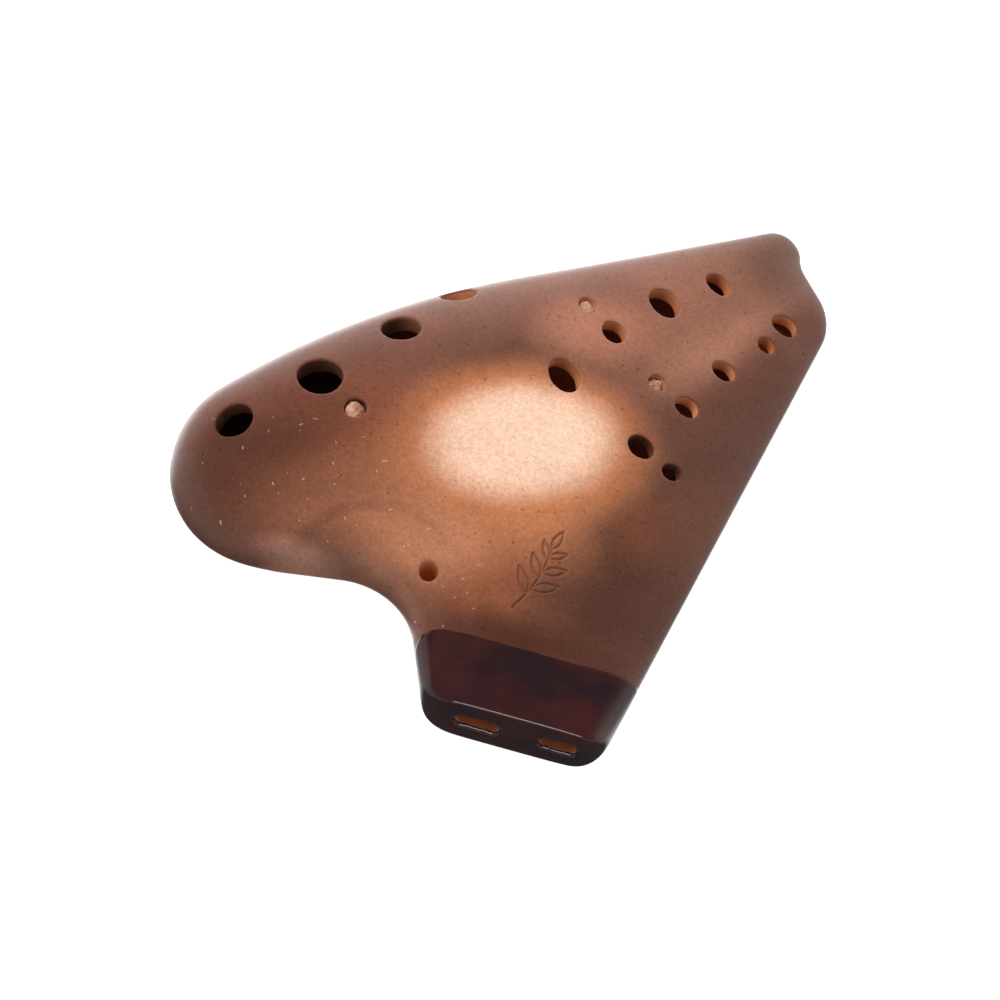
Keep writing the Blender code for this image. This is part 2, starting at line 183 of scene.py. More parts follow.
# The tongues at the windows, and the pressed lumps in the blind holes.
LABIUM_RISE = 3.5
LABIUM_PITCH = 0.25
PLUG_FIT = 0.93
PLUG_BUMPS = ((1.6, 0.10), (3.2, 0.07), (6.5, 0.045), (13, 0.02))
PLUG_FLATNESS = 0.6
PLUG_ROUGHNESS = 2.4
PLUG_SINK = 1.35

# ---------------- how finely things are worked out
BODY_PITCH = 0.5
GLAZE_PITCH = 0.28
HOLE_EDGE = 0.45
HOLE_WAVES = (0.010, 0.006)
THUMB_SEED = 40
BLIND_SEED = 60
PLUG_SEED = 90


# ================ plan: outline, rim and heights
def smooth_step(amount):
    """0 to 1 with level ends, for an amount that runs from 0 to 1."""
    amount = np.clip(amount, 0, 1)
    return amount * amount * (3 - 2 * amount)


def rounded_outline(corners):
    """Points along a closed outline whose corners are replaced by arcs."""
    spots = np.array([corner[:2] for corner in corners], float)
    bends = []
    for index, (_, _, radius) in enumerate(corners):
        corner = spots[index]
        back = spots[index - 1] - corner
        ahead = spots[(index + 1) % len(spots)] - corner
        back /= np.linalg.norm(back)
        ahead /= np.linalg.norm(ahead)
        half = math.acos(float(back @ ahead)) / 2
        middle = corner + (back + ahead) / np.linalg.norm(back + ahead) * radius / math.sin(half)
        first = corner + back * radius / math.tan(half) - middle
        last = corner + ahead * radius / math.tan(half) - middle
        start = math.atan2(first[1], first[0])
        turn = (math.atan2(last[1], last[0]) - start + math.pi) % math.tau - math.pi
        steps = max(abs(turn) / ARC_TURN, abs(turn) * radius / STRAIGHT_STEP, 2)
        count = math.ceil(steps) + 1
        for angle in start + np.linspace(0, turn, count):
            bends.append(middle + radius * np.array([math.cos(angle), math.sin(angle)]))
    return np.array(bends)


def inset(corners, distance):
    """The same corners with every edge moved inwards."""
    spots = np.array([corner[:2] for corner in corners], float)
    moved = []
    for index, (_, _, radius) in enumerate(corners):
        along = spots[index] - spots[index - 1]
        after = spots[(index + 1) % len(spots)] - spots[index]
        along /= np.linalg.norm(along)
        after /= np.linalg.norm(after)
        inward = np.array([-along[1] - after[1], along[0] + after[0]])
        inward /= np.linalg.norm(inward)
        shift = distance / float(inward @ np.array([-along[1], along[0]]))
        convex = along[0] * after[1] - along[1] * after[0] > 0
        new_radius = max(radius - distance, 1) if convex else radius + distance
        moved.append((*(spots[index] + inward * shift), new_radius))
    return moved


def rim_distance(points, outline):
    """A smooth distance from the outline, positive inside it."""
    edges = np.roll(outline, -1, axis=0) - outline
    lengths = np.linalg.norm(edges, axis=1)
    total = np.zeros(len(points))
    inside = np.zeros(len(points), bool)
    px, py = points[:, 0], points[:, 1]
    for (x, y), (ex, ey), length in zip(outline, edges, lengths):
        if length < 1e-6:
            continue
        ax, ay = px - x, py - y
        along = (ax * ex + ay * ey) / length
        off = np.maximum(ax * ax + ay * ay - along * along, 1e-9)
        ahead = length - along
        total += (ahead / np.sqrt(off + ahead**2) + along / np.sqrt(off + along**2)) / off
        crosses = (ay >= 0) != (py - y - ey >= 0)
        if ey:
            inside ^= crosses & (ax < ay * ex / ey)
    return np.where(inside, 1, -1) * np.sqrt(2 / total)


def thickness(points, sizes):
    """Half thickness over the plan: a sloping plane with a swelling at the middle."""
    spots = np.array([LOBE_SPOT, TAIL_SPOT, MOUTH_SPOT, MIDDLE], float)
    ends = [sizes["lobe"], sizes["tail"], sizes["mouth"]]
    slopes = np.linalg.solve(np.column_stack([np.ones(3), spots[:3]]), ends)
    swelling = sizes["middle"] - slopes[0] - float(spots[3] @ slopes[1:])
    spread = np.exp(-((points - MIDDLE) ** 2).sum(axis=1) / (2 * MIDDLE_SPREAD**2))
    body = slopes[0] + points @ slopes[1:] + swelling * spread
    share = smooth_step(points[:, 1] / MOUTH_BLEND)
    return sizes["mouth"] * (1 - share) + body * share


def web_share(points):
    """1 on the web and 0 away from it."""
    reach = np.linalg.norm(points - WEB_CENTRE, axis=1)
    return 1 - smooth_step((reach - WEB_INNER) / WEB_BLEND)


def edge_rounding(points):
    """How far in from the rim the surface keeps curving."""
    share = np.clip(points[:, 1] / ROUNDING_BLEND, 0, 1)
    rounding = MOUTH_ROUNDING + (RIM_ROUNDING - MOUTH_ROUNDING) * share
    return rounding * (1 - WEB_SHARPNESS * web_share(points))


def valley(points):
    """Depth of the valley between the chambers."""
    run = VALLEY_END - VALLEY_START
    length = np.linalg.norm(run)
    away = points - VALLEY_START
    along = (away @ run) / length**2
    across = (away @ np.array([-run[1], run[0]])) / length
    return VALLEY_DEPTH * np.clip(along, 0, 1.2) * np.exp(-((across / VALLEY_WIDTH) ** 2))


def front_thickness(points):
    return thickness(points, FRONT) - WEB_DROP * web_share(points) - valley(points)


def back_thickness(points):
    return thickness(points, BACK)


SEAM = rounded_outline(inset(OUTLINE, SEAM_CLEAR))
INNER_RIM = rounded_outline(inset(OUTLINE, WALL))


def rise(points):
    """The share of the full thickness over the plan: upright at the rim, then level."""
    distance = np.maximum(rim_distance(points, SEAM), 0)
    return np.sqrt(np.maximum(1 - np.exp(-2 * distance / edge_rounding(points)), 0))


def front_height(points):
    return front_thickness(points) * rise(points)


def back_depth(points):
    return back_thickness(points) * rise(points)


def surface_point(x, y, side):
    """The point on the front (side 1) or back (side -1) surface over x, y, and its normal."""
    step = 0.5
    plan = np.array([(x, y), (x + step, y), (x - step, y), (x, y + step), (x, y - step)], float)
    heights = front_height(plan) if side > 0 else -back_depth(plan)
    slope_x = (heights[1] - heights[2]) / (2 * step)
    slope_y = (heights[3] - heights[4]) / (2 * step)
    normal = np.array([-slope_x, -slope_y, 1.0])
    return np.array([x, y, heights[0]]), normal / np.linalg.norm(normal) * side


# ================ fields on a grid of points
class Grid:
    """A block of points, with the plan's fields worked out once for every column."""

    def __init__(self, low, high, pitch):
        self.pitch = pitch
        self.low = np.array(low, float)
        counts = np.ceil((np.array(high) - self.low) / pitch).astype(int) + 1
        self.axes = [self.low[i] + pitch * np.arange(counts[i]) for i in range(3)]
        x, y = np.meshgrid(self.axes[0], self.axes[1], indexing="ij")
        self.plan = np.column_stack([x.ravel(), y.ravel()])
        self.flat = x.shape
        self.x = self.axes[0][:, None, None].astype(np.float32)
        self.y = self.axes[1][None, :, None].astype(np.float32)
        self.z = self.axes[2][None, None, :].astype(np.float32)

    def column(self, values):
        return values.reshape(self.flat).astype(np.float32)

    def slopes(self, values):
        return np.gradient(values, self.pitch)


def smooth_max(first, second, reach):
    """The larger of two fields, with a rounded meeting of about that reach."""
    share = np.maximum(reach - np.abs(first - second), 0) / reach
    return np.maximum(first, second) + share * share * (reach / 4)


def cushion_field(grid, rim, front, back, rounding):
    """A distance-like field of the body between a front and a back surface, negative inside."""
    edge = np.clip(rim, -3, None)
    fade = np.exp(-2 * edge / rounding)
    fade_x, fade_y = grid.slopes(fade)
    field = np.empty(grid.flat + (len(grid.axes[2]),), np.float32)
    for half, wanted in ((front, grid.axes[2] >= 0), (back, grid.axes[2] < 0)):
        half_x, half_y = grid.slopes(half)
        z = grid.axes[2][wanted][None, None, :].astype(np.float32)
        ratio = z / half[:, :, None]
        square = ratio * ratio
        lean_x = fade_x[:, :, None] - 2 * square * (half_x / half)[:, :, None]
        lean_y = fade_y[:, :, None] - 2 * square * (half_y / half)[:, :, None]
        lean_z = 2 * ratio / half[:, :, None]
        steep = np.sqrt(lean_x**2 + lean_y**2 + lean_z**2)
        field[:, :, wanted] = (square + fade[:, :, None] - 1) / np.maximum(steep, 0.02)
    return field


def wobble(points, spread, seed):
    """A smooth uneven height, about -1 to 1, whose swells are about that far apart."""
    dice = np.random.default_rng(seed)
    total = np.zeros(len(points))
    for _ in range(9):
        turn = dice.uniform(0, math.tau)
        rate = math.tau / (spread * dice.uniform(0.7, 1.6))
        total += np.sin((points @ [math.cos(turn), math.sin(turn)]) * rate + dice.uniform(0, 6.3))
    return total / 9


def outer_field(grid):
    """The outside of the instrument, with its uneven surface, its flat belly and flat end."""
    plan = grid.plan
    rim = grid.column(rim_distance(plan, SEAM))
    uneven = UNEVENNESS * np.clip(plan[:, 1] / 60, 0.15, 1)
    front = front_thickness(plan) - uneven * (1 + wobble(plan, *FRONT_SWELLS))
    inside = PLATEAU_REACH - np.linalg.norm(plan - PLATEAU_CENTRE, axis=1)
    clear = smooth_step((plan[:, 1] - PLATEAU_START) / PLATEAU_BLEND)
    front = front - PLATEAU_DROP * clear * smooth_step(inside / PLATEAU_STEP + 0.5)
    back = back_thickness(plan) - uneven * (1 + wobble(plan, *BACK_SWELLS))
    field = cushion_field(
        grid, rim, grid.column(front), grid.column(back), grid.column(edge_rounding(plan))
    )
    field = smooth_max(field, BELLY_BLEND / 60 - REST_DEPTH - grid.z, BELLY_BLEND)
    return smooth_max(field, end_field(grid), END_EDGE)


def end_field(grid):
    """The mouthpiece's flat end with its rounded upright corners, as an endless prism."""
    field = END_PLANE - grid.y
    for corner, far in ((OUTLINE[-1], OUTLINE[-2]), (OUTLINE[0], OUTLINE[1])):
        lean = (far[0] - corner[0]) / (far[1] - corner[1])
        outwards = math.copysign(1, corner[0])
        side = (grid.x - corner[0] - lean * (grid.y - corner[1])) * outwards
        side = side / math.hypot(1, lean) - END_CLEAR
        side = side - END_RELEASE * np.maximum(grid.y - END_REACH, 0)
        field = smooth_max(field, side, END_CORNER)
    return field


def hollow_field(grid):
    """The air space inside the walls, negative inside it, with a post of clay for the lanyard."""
    plan = grid.plan
    rim = grid.column(rim_distance(plan, INNER_RIM))
    room_front = np.maximum(front_height(plan) - WALL, 0.5)
    room_back = np.maximum(np.minimum(back_depth(plan), REST_DEPTH) - WALL, 0.5)
    rounding = np.full(grid.flat, CAVITY_ROUNDING, np.float32)
    field = cushion_field(grid, rim, grid.column(room_front), grid.column(room_back), rounding)
    field = smooth_max(field, CAVITY_FRONT - grid.y, 2.0)
    x, y, _ = LANYARD_HOLE
    boss = np.sqrt((grid.x - x) ** 2 + (grid.y - y) ** 2) - LANYARD_BOSS / 2
    return smooth_max(field, -boss, 2.0)


def cut_hole(grid, field, hole, side, depth, seed):
    """Takes a slightly uneven oval hole square to the surface out of a field, near it only."""
    x, y, long, short, turn = hole
    spot, normal = surface_point(x, y, side)
    across = np.array([1.0, 0, 0]) - normal * normal[0]
    across /= np.linalg.norm(across)
    upward = np.cross(normal, across)
    cosine, sine = math.cos(math.radians(turn)), math.sin(math.radians(turn))
    first, second = across * cosine + upward * sine, upward * cosine - across * sine
    reach = long / 2 + depth + 2
    part = tuple(
        slice(*np.searchsorted(grid.axes[i], [spot[i] - reach, spot[i] + reach])) for i in range(3)
    )
    away = [
        grid.x[part[0]] - np.float32(spot[0]),
        grid.y[:, part[1]] - np.float32(spot[1]),
        grid.z[:, :, part[2]] - np.float32(spot[2]),
    ]
    along, u, v = (
        away[0] * way[0] + away[1] * way[1] + away[2] * way[2] for way in (normal, first, second)
    )
    dice = np.random.default_rng(seed)
    round_about = np.arctan2(v, u)
    uneven = 1 + HOLE_WAVES[0] * np.cos(3 * round_about + dice.uniform(0, 6.3))
    uneven += HOLE_WAVES[1] * np.cos(5 * round_about + dice.uniform(0, 6.3) + along * 0.5)
    radius = np.sqrt((u / long) ** 2 + (v / short) ** 2) * 2 / uneven
    tube = (radius - 1) * (long + short) / 4
    tube = np.maximum(tube, np.maximum(-along - depth, along - DRILL_START)).astype(np.float32)
    field[part] = smooth_max(field[part], -tube, HOLE_EDGE)


def windway_field(grid, side, widen=0):
    """The narrowing slot with rounded sides that carries the breath, negative inside it."""
    middle, width = WINDWAYS[side]
    share = grid.y / CAVITY_FRONT
    half_height = (WINDWAY_ENTRY + (WINDWAY_EXIT - WINDWAY_ENTRY) * share) / 2 + widen
    across = np.maximum(np.abs(grid.x - middle) - (width / 2 + widen - half_height), 0)
    tall = grid.z - WINDWAY_START + WINDWAY_DROP * share
    slot = np.sqrt(across**2 + tall**2) - half_height
    return np.maximum(slot, grid.y - CAVITY_FRONT - 0.6)


# ================ meshes out of fields
def sample(grid, field, points):
    """The field at points between the grid's own, by straight-line blending."""
    place = (points - grid.low) / grid.pitch
    base = np.clip(np.floor(place).astype(int), 0, np.array(field.shape) - 2)
    part = place - base
    total = np.zeros(len(points))
    for corner in range(8):
        step = np.array([corner & 1, corner >> 1 & 1, corner >> 2 & 1])
        weight = np.prod(np.where(step, part, 1 - part), axis=1)
        i, j, k = (base + step).T
        total += weight * field[i, j, k]
    return total


def slope_at(grid, field, points, step=0.7):
    """The field's slope at points."""
    reach = grid.pitch * step
    out = np.empty_like(points)
    for axis in range(3):
        offset = np.zeros(3)
        offset[axis] = reach
        out[:, axis] = sample(grid, field, points + offset) - sample(grid, field, points - offset)
    return out / (2 * reach)


def facing_at(grid, field, points):
    """The surface's outward direction at points on it."""
    slope = slope_at(grid, field, points)
    return slope / np.maximum(np.linalg.norm(slope, axis=1), 1e-6)[:, None]


def extract(grid, field):
    """Corners and four-sided faces of the surface where a field is zero, faces outwards."""
    inside = field < 0
    count = np.array(field.shape) - 1
    corners = [
        inside[i : i + count[0], j : j + count[1], k : k + count[2]]
        for i in (0, 1) for j in (0, 1) for k in (0, 1)
    ]
    held = sum(corner.astype(np.int8) for corner in corners)
    cells = np.argwhere((held > 0) & (held < 8))
    number = np.full(count, -1, np.int32)
    number[tuple(cells.T)] = np.arange(len(cells))
    total = np.zeros((len(cells), 3))
    crossings = np.zeros(len(cells))
    for axis in range(3):
        others = [a for a in range(3) if a != axis]
        for first in (0, 1):
            for second in (0, 1):
                start = np.zeros(3, int)
                start[others[0]], start[others[1]] = first, second
                end = start.copy()
                end[axis] = 1
                one = field[tuple((cells + start).T)]
                two = field[tuple((cells + end).T)]
                crossed = (one < 0) != (two < 0)
                share = np.where(crossed, one / np.where(crossed, one - two, 1), 0)
                spot = np.tile(start.astype(float), (len(cells), 1))
                spot[:, axis] = share
                total[crossed] += spot[crossed]
                crossings += crossed
    points = grid.low + (cells + total / crossings[:, None]) * grid.pitch
    faces = []
    for axis in range(3):
        u, v = [a for a in range(3) if a != axis]
        if axis == 1:
            u, v = v, u
        low = [slice(None)] * 3
        high = [slice(None)] * 3
        low[axis], high[axis] = slice(0, -1), slice(1, None)
        one, two = inside[tuple(low)], inside[tuple(high)]
        changed = one != two
        spots = np.argwhere(changed)
        keep = (spots[:, u] > 0) & (spots[:, v] > 0)
        keep &= (spots[:, u] < count[u]) & (spots[:, v] < count[v])
        spots = spots[keep]
        ring = []
        for du, dv in ((-1, -1), (0, -1), (0, 0), (-1, 0)):
            near = spots.copy()
            near[:, u] += du
            near[:, v] += dv
            ring.append(number[tuple(near.T)])
        quad = np.array(ring).T
        outwards = one[tuple(spots.T)]
        faces.append(np.where(outwards[:, None], quad, quad[:, ::-1]))
    return points, np.concatenate(faces)


def relax(points, faces, rounds, share=0.5):
    """Evens out the faces by moving each corner towards the middle of its neighbours."""
    edges = np.concatenate([faces[:, [i, (i + 1) % 4]] for i in range(4)])
    edges = np.concatenate([edges, edges[:, ::-1]])
    count = np.bincount(edges[:, 0], minlength=len(points))
    for _ in range(rounds):
        total = np.stack(
            [np.bincount(edges[:, 0], points[edges[:, 1], a], len(points)) for a in range(3)], 1
        )
        points = points + share * (total / np.maximum(count, 1)[:, None] - points)
    return points


def settle(grid, field, points, rounds=2):
    """Moves points straight onto the surface where the field is zero."""
    for _ in range(rounds):
        slope = slope_at(grid, field, points, 0.5)
        steep = np.maximum((slope**2).sum(axis=1), 0.2)
        move = (sample(grid, field, points) / steep)[:, None] * slope
        points = points - np.clip(move, -grid.pitch, grid.pitch)
    return points


def surface_of(grid, field):
    """An even mesh of a field's zero surface: points and faces."""
    points, faces = extract(grid, field)
    for _ in range(2):
        points = relax(points, faces, 2)
        points = settle(grid, field, points)
    return points, faces


# ================ materials
class Nodes:
    """Short words for building the nodes of a material or a world."""

    def __init__(self, owner):
        owner.use_nodes = True
        self.tree = owner.node_tree
        self.spaces = self.new("ShaderNodeTexCoord").outputs
        self.place = self.spaces["Object"]

    def new(self, kind, **settings):
        node = self.tree.nodes.new(kind)
        for key, value in settings.items():
            setattr(node, key, value)
        return node

    def put(self, value, socket):
        if isinstance(value, bpy.types.NodeSocket):
            self.tree.links.new(value, socket)
        else:
            socket.default_value = value

    def fill(self, node, *values):
        for value, socket in zip(values, node.inputs):
            self.put(value, socket)
        return node.outputs

    def math(self, operation, *values):
        return self.fill(self.new("ShaderNodeMath", operation=operation), *values)[0]

    def vector(self, operation, *values):
        outputs = self.fill(self.new("ShaderNodeVectorMath", operation=operation), *values)
        return outputs["Value" if operation == "LENGTH" else "Vector"]

    def moved(self, lift):
        """The object's coordinates, shifted so that two textures don't repeat each other."""
        return self.vector("ADD", self.place, (lift, lift * 0.7, lift * 1.3))

    def noise(self, scale, detail=3.0, rough=0.5, lift=0.0):
        """Noise whose features are about 1/scale metres across."""
        node = self.new("ShaderNodeTexNoise")
        node.inputs["Scale"].default_value = scale
        node.inputs["Detail"].default_value = detail
        node.inputs["Roughness"].default_value = rough
        self.put(self.moved(lift) if lift else self.place, node.inputs["Vector"])
        return node.outputs["Fac"]

    def cells(self, scale, at):
        """The distance to the nearest of many scattered points, and that point's own chance."""
        node = self.new("ShaderNodeTexVoronoi")
        node.inputs["Scale"].default_value = scale
        self.put(at, node.inputs["Vector"])
        apart = self.new("ShaderNodeSeparateColor")
        self.put(node.outputs["Color"], apart.inputs[0])
        return node.outputs["Distance"], apart.outputs[0]

    def remap(self, value, low, high, to_low=0.0, to_high=1.0, smooth=True):
        kind = "SMOOTHSTEP" if smooth else "LINEAR"
        node = self.new("ShaderNodeMapRange", interpolation_type=kind)
        return self.fill(node, value, low, high, to_low, to_high)["Result"]

    def mix(self, share, first, second, blend="MIX"):
        node = self.new("ShaderNodeMix", data_type="RGBA", blend_type=blend)
        self.put(share, node.inputs[0])
        self.put(first, node.inputs[6])
        self.put(second, node.inputs[7])
        return node.outputs[2]

    def attribute(self, name):
        return self.new("ShaderNodeAttribute", attribute_name=name).outputs["Fac"]

    def bump(self, height, strength, distance):
        node = self.new("ShaderNodeBump")
        node.inputs["Strength"].default_value = strength
        node.inputs["Distance"].default_value = distance
        self.put(height, node.inputs["Height"])
        return node.outputs["Normal"]

    def set(self, shader="Principled BSDF", **values):
        """Gives a shader's sockets their values, with _ for a space in a name."""
        for key, value in values.items():
            self.put(value, self.tree.nodes[shader].inputs[key.replace("_", " ")])


def world(x, y, z=0.0):
    """A design point in world metres."""
    return tuple(float(v) for v in (np.array([x, y, z]) - ORIGIN) * MM)


def blob(nodes, centre, along, across, turn, low, high, bend=0.0, seed=0.0):
    """1 inside a soft ellipse on the plan, falling to 0 between the shares low and high.

    bend is how far, in millimetres, noise pushes its edge about.
    """
    node = nodes.new("ShaderNodeMapping", vector_type="TEXTURE")
    node.inputs["Location"].default_value = world(*centre)
    node.inputs["Rotation"].default_value = (0, 0, math.radians(turn))
    node.inputs["Scale"].default_value = (along * MM, across * MM, 1.0)
    nodes.put(nodes.place, node.inputs["Vector"])
    flat = nodes.vector("MULTIPLY", node.outputs["Vector"], (1.0, 1.0, 0.0))
    reach = nodes.vector("LENGTH", flat)
    if bend:
        shift = nodes.noise(45, 2.5, 0.55, lift=seed)
        shift = nodes.math("MULTIPLY", nodes.math("SUBTRACT", shift, 0.5), 2 * bend / along)
        reach = nodes.math("ADD", reach, shift)
    return nodes.remap(reach, low, high, 1.0, 0.0)


FLECK_STRETCH = (2.6, 1.0, 1000.0)
FLECK_SIZE = 0.16
FLECK_EDGE = 0.03
FLECK_BEND = 0.006


def scratch(nodes, scale, turn, rarity, lift):
    """1 on short thin streaks turned from the x axis, fewer the nearer the rarity is to 1."""
    spin = nodes.new("ShaderNodeMapping", vector_type="TEXTURE")
    spin.inputs["Rotation"].default_value = (0, 0, math.radians(turn))
    spin.inputs["Scale"].default_value = FLECK_STRETCH
    bent = nodes.new("ShaderNodeTexNoise")
    bent.inputs["Scale"].default_value = 90
    nodes.put(nodes.place, bent.inputs["Vector"])
    shift = nodes.vector("SCALE", bent.outputs["Color"])
    shift.node.inputs["Scale"].default_value = FLECK_BEND
    nodes.put(nodes.vector("ADD", nodes.place, shift), spin.inputs["Vector"])
    at = nodes.vector("ADD", spin.outputs["Vector"], (lift, 0, lift))
    distance, chance = nodes.cells(scale, at)
    size = nodes.remap(chance, rarity, 1.0, 0.0, FLECK_SIZE)
    return nodes.remap(nodes.math("SUBTRACT", size, distance), 0.0, FLECK_EDGE)


# Patches of smoke on the plan, and among them a painted reflection and a painted highlight: middle,
# half lengths, turn, where the soft edge starts and ends as shares of them, how far the edge
# wanders in millimetres, colour and strength.
PATCHES = [
    ((-50, 58), 38, 22, 25, 0.2, 1.3, 8, (0.205, 0.064, 0.032, 1), 0.8),
    ((-46, 93), 34, 12, 35, 0.2, 1.3, 8, (0.150, 0.058, 0.038, 1), 0.8),
    ((-12, 130), 70, 19, 33, 0.2, 1.3, 8, (0.225, 0.093, 0.061, 1), 0.85),
    ((-8, 110), 16, 10, 20, 0.2, 1.3, 4, (0.300, 0.120, 0.075, 1), 0.8),
    ((17, 126), 44, 19, 55, 0.2, 1.3, 6, (0.300, 0.122, 0.076, 1), 0.85),
    ((38, 158), 14, 12, 60, 0.3, 1.3, 4, (0.145, 0.064, 0.043, 1), 0.85),
    ((-20, 52), 30, 17, 4, 0.3, 1.3, 7, (0.45, 0.165, 0.072, 1), 0.9),
    ((-16, 34), 13, 13, 20, 0.2, 1.3, 5, (0.270, 0.082, 0.036, 1), 0.8),
    ((-32, 38), 19, 11, 10, 0.3, 1.3, 4, (0.500, 0.205, 0.105, 1), 0.85),
    # painted reflection: a pale band along the lobe's lower edge, where the white table is mirrored
    ((-53, 26.5), 17, 4, -6, 0.3, 1.3, 2, (0.560, 0.270, 0.190, 1), 0.7),
    ((-34, 24), 12, 6, -50, 0.3, 1.3, 3, (0.190, 0.075, 0.042, 1), 0.8),
    ((-4, 20.5), 28, 7, 2, 0.1, 1.4, 4, (0.066, 0.017, 0.008, 1), 0.9),
    ((18, 38), 30, 15, 66, 0.0, 1.60, 4, (0.056, 0.0175, 0.0100, 1), 0.78),
    ((33, 84), 54, 15, 77, 0.1, 1.35, 6, (0.104, 0.040, 0.025, 1), 0.85),
    ((-82, 44), 21, 16, 30, 0.3, 1.3, 6, (0.084, 0.026, 0.015, 1), 0.85),
    ((-68, 60), 14, 12, 30, 0.3, 1.3, 6, (0.110, 0.034, 0.018, 1), 0.75),
    ((-50, 42), 26, 12, 12, 0.2, 1.4, 5, (0.330, 0.125, 0.066, 1), 0.55),
    ((18, 61), 12, 8, 60, 0.3, 1.3, 4, (0.170, 0.052, 0.024, 1), 0.75),
    ((-6, 112), 16, 11, 30, 0.1, 1.4, 4, (0.400, 0.160, 0.096, 1), 0.7),
    # painted highlight: a lighter band along the floor of the valley between the chambers
    ((24, 121), 24, 7, 58, 0.1, 1.4, 3, (0.380, 0.165, 0.103, 1), 0.6),
    ((30, 70), 20, 9, 70, 0.3, 1.3, 5, (0.135, 0.048, 0.027, 1), 0.7),
    ((46, 134), 8, 5, 60, 0.3, 1.3, 3, (0.150, 0.062, 0.045, 1), 0.8),
]


def smoked_clay():
    """Burnished clay, browned by smoke round a pale spot, with a painted reflection along the
    lobe's lower edge, a painted highlight along the valley and raw clay inside its holes.
    """
    material = bpy.data.materials.new("smoked_clay")
    n = Nodes(material)
    wide = n.noise(14, 3.0, 0.55, lift=0.3)
    middling = n.noise(60, 4.0, 0.6, lift=0.9)
    fine = n.noise(420, 4.0, 0.65, lift=1.7)
    grain = n.noise(2600, 2.0, 0.6, lift=2.3)

    dark = (0.112, 0.040, 0.024, 1)
    brown = (0.150, 0.054, 0.031, 1)
    tone = n.mix(n.remap(wide, 0.35, 0.65), dark, brown)
    for index, (*place, colour, share) in enumerate(PATCHES):
        mask = blob(n, *place, 3.1 + index)
        tone = n.mix(n.math("MULTIPLY", mask, share), tone, colour)
    halo = blob(n, (-15, 71.5), 34.5, 24, 24, 0.60, 1.14, 4, 7.7)
    tone = n.mix(n.math("MULTIPLY", halo, 0.92), tone, (0.52, 0.185, 0.075, 1))
    spot = blob(n, (-16.3, 71.0), 26.5, 16.8, 30, 0.58, 1.14, 3.0, 8.4)
    tone = n.mix(spot, tone, (0.85, 0.545, 0.39, 1))

    cloud = n.remap(middling, 0.3, 0.7, 0.90, 1.10, smooth=False)
    speck = n.remap(n.noise(900, 3.0, 0.7, lift=4.1), 0.36, 0.64, 0.89, 1.11, smooth=False)
    level = n.math("MULTIPLY", cloud, speck)
    level = n.math("MULTIPLY", level, n.remap(grain, 0.36, 0.64, 0.88, 1.10, smooth=False))
    distance, chance = n.cells(750, n.moved(0.4))
    size = n.remap(chance, 0.72, 1.0, 0.0, 0.32)
    dot = n.remap(n.math("SUBTRACT", size, distance), 0.0, 0.08)
    dot = n.math("MULTIPLY", dot, n.remap(spot, 0.0, 1.0, 1.0, 0.3))
    level = n.math("MULTIPLY", level, n.math("SUBTRACT", 1.0, n.math("MULTIPLY", dot, 0.40)))
    tone = n.mix(1.0, tone, level, "MULTIPLY")

    worn = n.math("MAXIMUM", blob(n, (-62, 40), 36, 20, 8, 0.5, 1.2, 6, 1.3),
                  blob(n, (-30, 26), 20, 20, 0, 0.5, 1.2, 6, 1.9))
    fleck = n.math("MAXIMUM", scratch(n, 660, 25, 0.40, 0.2), scratch(n, 836, -50, 0.45, 2.6))
    fleck = n.math("MULTIPLY", fleck, n.math("ADD", n.math("MULTIPLY", worn, 0.6), 0.04))
    tone = n.mix(fleck, tone, (0.66, 0.40, 0.27, 1))

    raw = n.mix(n.remap(middling, 0.3, 0.7), (0.52, 0.175, 0.072, 1), (0.70, 0.29, 0.130, 1))
    sooty = n.math("MAXIMUM", blob(n, (-72, 66), 48, 44, 0, 0.75, 1.05),
                   blob(n, (17, 81), 11, 8, 0, 0.8, 1.2))
    raw = n.mix(n.math("MULTIPLY", sooty, 0.85), raw, (0.055, 0.020, 0.012, 1))
    incised = n.remap(n.attribute("incised"), 0.25, 0.9)
    tone = n.mix(n.math("MULTIPLY", incised, 0.6), tone, (0.20, 0.062, 0.026, 1))
    inner = n.remap(n.attribute("depth"), 0.35, 0.95)
    colour = n.mix(inner, tone, raw)

    rough = n.remap(fine, 0.3, 0.7, 0.36, 0.46, smooth=False)
    rough = n.math("ADD", rough, n.math("MULTIPLY", inner, 0.35))
    height = n.math("ADD", n.math("MULTIPLY", fine, 0.7), n.math("MULTIPLY", grain, 0.3))
    n.set(Base_Color=colour, Roughness=rough, Normal=n.bump(height, 0.25, 0.00006))
    n.set(Coat_Weight=0.45, Coat_Roughness=0.22, Coat_IOR=1.22, Specular_IOR_Level=0.35)
    return material


def raw_clay():
    """Unburnished clay of the plugs and the wall inside."""
    material = bpy.data.materials.new("raw_clay")
    n = Nodes(material)
    middling = n.noise(300, 4.0, 0.6, lift=0.4)
    fine = n.noise(2200, 3.0, 0.6, lift=1.1)
    colour = n.mix(n.remap(middling, 0.3, 0.7), (0.28, 0.12, 0.07, 1), (0.58, 0.33, 0.23, 1))
    height = n.math("ADD", middling, n.math("MULTIPLY", fine, 0.5))
    n.set(Base_Color=colour, Roughness=n.remap(fine, 0.3, 0.7, 0.75, 0.95))
    n.set(Normal=n.bump(height, 0.6, 0.00012))
    return material


def dark_glaze():
    """Thick plum brown glaze, redder where it is thin."""
    material = bpy.data.materials.new("dark_glaze")
    n = Nodes(material)
    wide = n.noise(70, 3.0, 0.55, lift=0.2)
    fine = n.noise(900, 3.0, 0.6, lift=1.4)
    thick, thin = (0.0085, 0.0030, 0.0042, 1), (0.022, 0.0042, 0.0040, 1)
    colour = n.mix(n.remap(wide, 0.38, 0.66), thick, thin)
    n.set(Base_Color=colour, Roughness=n.remap(fine, 0.3, 0.7, 0.10, 0.16))
    n.set(Normal=n.bump(wide, 0.15, 0.0003), Specular_IOR_Level=0.35)
    return material


